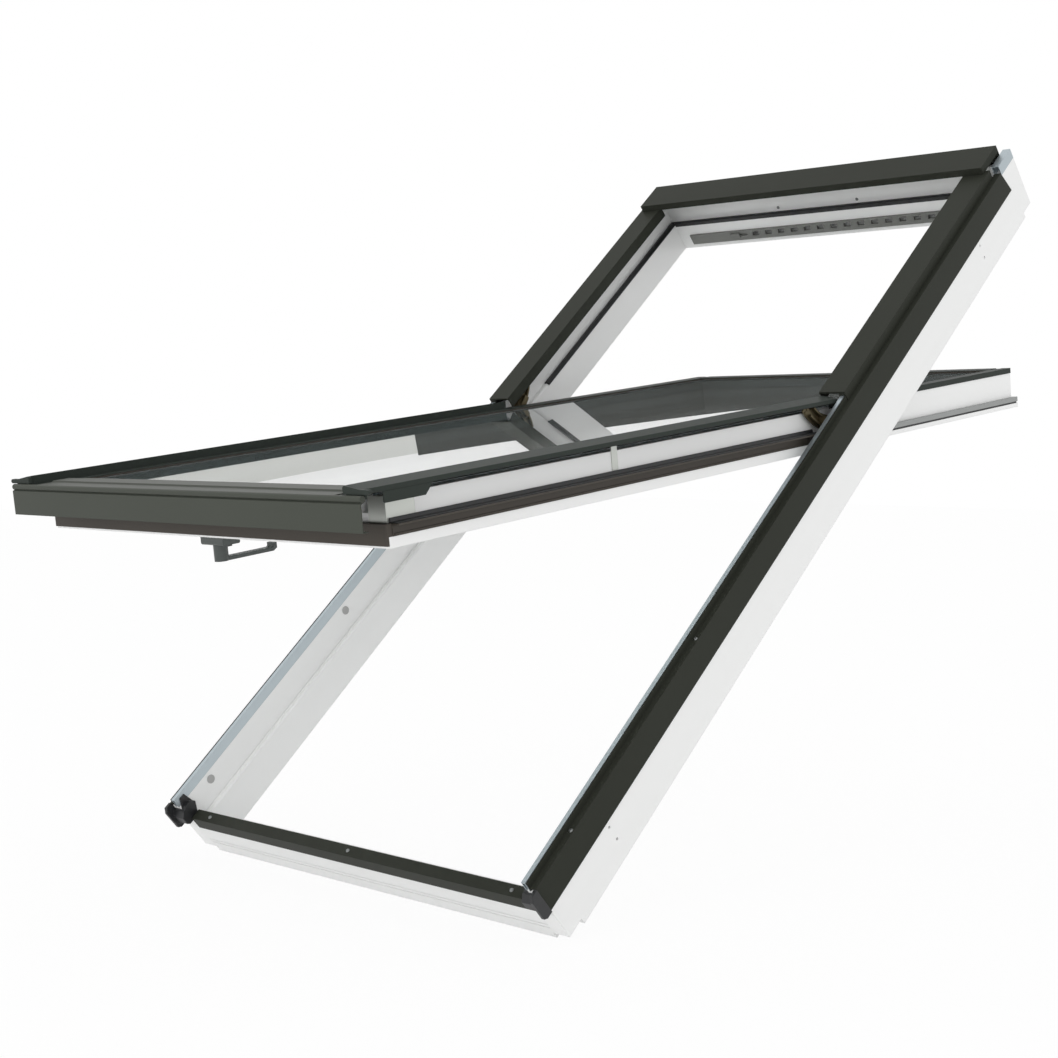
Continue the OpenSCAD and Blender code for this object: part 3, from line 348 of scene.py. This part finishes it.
# thin trims beside the folded covers and the seal, one on each side of the window, two of them painted
# shade:
# an outline that is moved along to make a bar, with its edges rounded
trims = {
    # dark sheet below a side cover's wall, over the bare corner plate: painted shadow of the cover on the
    # plate
    "paintedShadowSkirt": {
        "body": "sash", "finish": "sashCoat", "slot": "dark_cover", "move": (1.2, 0, 0), "round": 0.25,
        "outline": [(20.5, 24, 104), (20.5, 24, 92), (20.5, 26, 90), (20.5, 92, 90), (20.5, 106, 104)]},
    # closed outer end of an upper cover
    "coverFoot": {
        "body": "frame", "finish": "darkCoat", "slot": "dark_cover", "move": (0, 1.2, 0), "round": 0.25,
        "outline": [(8.7, 950.1, 110), (19.8, 950.1, 110), (19.8, 950.1, 124.5), (8.7, 950.1, 124.5)]},
    # black strip on the lip of the lower seal: painted shade of the cover falling on the lip's top
    "paintedShadeLipStrip": {
        "body": "sash", "finish": "blackPlastic", "slot": "rubber_seal", "move": (0, 879, 0), "round": 0.2,
        "outline": [(25, 46, 62.42), (39.5, 46, 62.42), (39.5, 46, 68.5), (38, 46, 68.5), (36.5, 46, 63.6),
                    (25, 46, 63)]},
    # rounded ridge along the foot of the lower seal
    "sealRidge": {
        "body": "sash", "finish": "sealRubber", "slot": "rubber_seal", "move": (0, 889, 0), "round": 0.5,
        "outline": [(30.7, 46, 48.2), (32.02, 46, 48.2), (32.02, 46, 50.6), (30.7, 46, 50.6)]},
}
trimSides = {"Left": -1, "Right": 1}
roundSteps = 2


def makeTrim(name, trim, side):
    shape = bmesh.new()
    near = [shape.verts.new(windowPoint(trim["body"], side, p)) for p in trim["outline"]]
    moved = [[a + b for a, b in zip(p, trim["move"])] for p in trim["outline"]]
    far = [shape.verts.new(windowPoint(trim["body"], side, p)) for p in moved]
    shape.faces.new(near)
    shape.faces.new(far[::-1])
    for i in range(len(near)):
        j = (i + 1) % len(near)
        shape.faces.new((near[i], far[i], far[j], near[j]))
    bmesh.ops.recalc_face_normals(shape, faces=shape.faces[:])
    bmesh.ops.bevel(shape, geom=shape.edges[:], offset=trim["round"] / window["perMetre"],
                    segments=roundSteps, affect="EDGES")
    mesh = bpy.data.meshes.new(name)
    shape.to_mesh(mesh)
    shape.free()
    mesh.materials.append(made[trim["finish"]])
    obj = addObject(name, mesh)
    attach(obj, trim["body"])


for name, trim in trims.items():
    for ending, side in trimSides.items():
        makeTrim(name + ending, trim, side)
print("trims made:", len(trims) * len(trimSides))


# 1 for rays that show a thing as it is: from the camera, mirrored or through glass
def directRays(tree):
    path = tree.nodes.new("ShaderNodeLightPath")
    mirrored = mathNode(tree, "MAXIMUM")
    direct = mathNode(tree, "MAXIMUM")
    linkAll(tree, [
        (path.outputs["Is Camera Ray"], mirrored.inputs[0]),
        (path.outputs["Is Glossy Ray"], mirrored.inputs[1]),
        (mirrored.outputs["Value"], direct.inputs[0]),
        (path.outputs["Is Transmission Ray"], direct.inputs[1])])
    return direct.outputs["Value"]


stageRoughness = 0.9


def stageMesh(name, points, faces, color):
    mesh = bpy.data.meshes.new(name)
    mesh.from_pydata(points, [], faces)
    mat, tree, bsdf = newMaterial(name)
    bsdf.inputs["Base Color"].default_value = color
    bsdf.inputs["Roughness"].default_value = stageRoughness
    mesh.materials.append(mat)
    return addObject(name, mesh), tree, bsdf


# pale floor under the window's foot, which fades into the room
floorLook = {"half": 12.0, "drop": 0.0005, "color": (0.94, 0.94, 0.94, 1), "glow": 0.93}


def makeFloor():
    low = cadBox[0][2] - floorLook["drop"]
    h = floorLook["half"]
    corners = [(-h, -h, low), (h, -h, low), (h, h, low), (-h, h, low)]
    floor, tree, bsdf = stageMesh("floor", corners, [(0, 1, 2, 3)], floorLook["color"])
    glow = mathNode(tree, "MULTIPLY")
    glow.inputs[1].default_value = floorLook["glow"]
    shine = tree.nodes.new("ShaderNodeEmission")
    blend = tree.nodes.new("ShaderNodeMixShader")
    linkAll(tree, [
        (directRays(tree), glow.inputs[0]),
        (glow.outputs["Value"], blend.inputs["Fac"]),
        (bsdf.outputs["BSDF"], blend.inputs[1]),
        (shine.outputs["Emission"], blend.inputs[2]),
        (blend.outputs["Shader"], tree.nodes["Material Output"].inputs["Surface"])])


makeFloor()

# soft studio light: a pale room and two large lamps
studio = {
    "room": {"light": 0.92, "seen": 1.0, "color": (1, 1, 1, 1)},
    "lamps": {
        "keyLamp": {"spot": (0.3, -2.4, 3.5), "aim": (0.0, 0.3, 0.5), "size": 1.2, "watts": 12.0},
        "fillLamp": {"spot": (0.9, -3.6, 0.45), "aim": (0.0, 0.8, 0.85), "size": 1.6, "watts": 25.0},
    },
}


def lightRoom(room):
    world = bpy.data.worlds.new("paleRoom")
    world.use_nodes = True
    scene.world = world
    tree = world.node_tree
    back = tree.nodes["Background"]
    back.inputs["Color"].default_value = room["color"]
    level = tree.nodes.new("ShaderNodeMapRange")
    level.inputs["To Min"].default_value = room["light"]
    level.inputs["To Max"].default_value = room["seen"]
    linkAll(tree, [(directRays(tree), level.inputs["Value"]),
                   (level.outputs["Result"], back.inputs["Strength"])])


def hangLamp(name, lamp):
    data = bpy.data.lights.new(name, "AREA")
    data.shape = "SQUARE"
    data.size = lamp["size"]
    data.energy = lamp["watts"]
    obj = addObject(name, data)
    obj.location = lamp["spot"]
    aim = Vector(lamp["aim"]) - Vector(lamp["spot"])
    obj.rotation_euler = aim.to_track_quat("-Z", "Y").to_euler()
    obj.visible_glossy = False


# curved cards far behind the window, seen only by mirrored rays and through glass:
# turn is from and to, in degrees left of straight behind, and high is the top edge at both ends
cards = {
    "away": 12.0, "steps": 24, "low": 2.2,
    "hung": {
        "paleCard": {"turn": (62.0, 47.5), "high": (2.70, 2.72), "color": (0.78, 0.79, 0.76, 1)},
        "darkCard": {"turn": (47.5, 6.0), "high": (2.74, 2.90), "color": (0.05, 0.052, 0.047, 1)},
    },
}


def hangCard(name, card):
    away, steps = cards["away"], cards["steps"]
    (first, last), (top, lastTop) = card["turn"], card["high"]
    points, faces = [], []
    for step in range(steps + 1):
        share = step / steps
        angle = math.radians(first + (last - first) * share)
        x, y = -away * math.sin(angle), away * math.cos(angle)
        points += [(x, y, cards["low"]), (x, y, top + (lastTop - top) * share)]
    for step in range(steps):
        faces.append((2 * step, 2 * step + 2, 2 * step + 3, 2 * step + 1))
    obj, _, _ = stageMesh(name, points, faces, card["color"])
    obj.visible_camera = False
    obj.visible_diffuse = False
    obj.visible_shadow = False


lightRoom(studio["room"])
for name, lamp in studio["lamps"].items():
    hangLamp(name, lamp)
for name, card in cards["hung"].items():
    hangCard(name, card)
print("studio lit")

# camera fitted to the photograph's view
view = {"spot": (1.9184, -1.7135, 0.6513), "turn": (86.877, 0.135, 43.311), "focalPixels": 1789.5,
        "imagePixels": 1058, "sensor": 36.0, "reach": 60.0}


def placeCamera():
    data = bpy.data.cameras.new("camera")
    data.sensor_width = view["sensor"]
    data.lens = view["sensor"] * view["focalPixels"] / view["imagePixels"]
    data.clip_end = view["reach"]
    camera = addObject("camera", data)
    camera.location = view["spot"]
    camera.rotation_euler = [math.radians(a) for a in view["turn"]]
    scene.camera = camera


placeCamera()
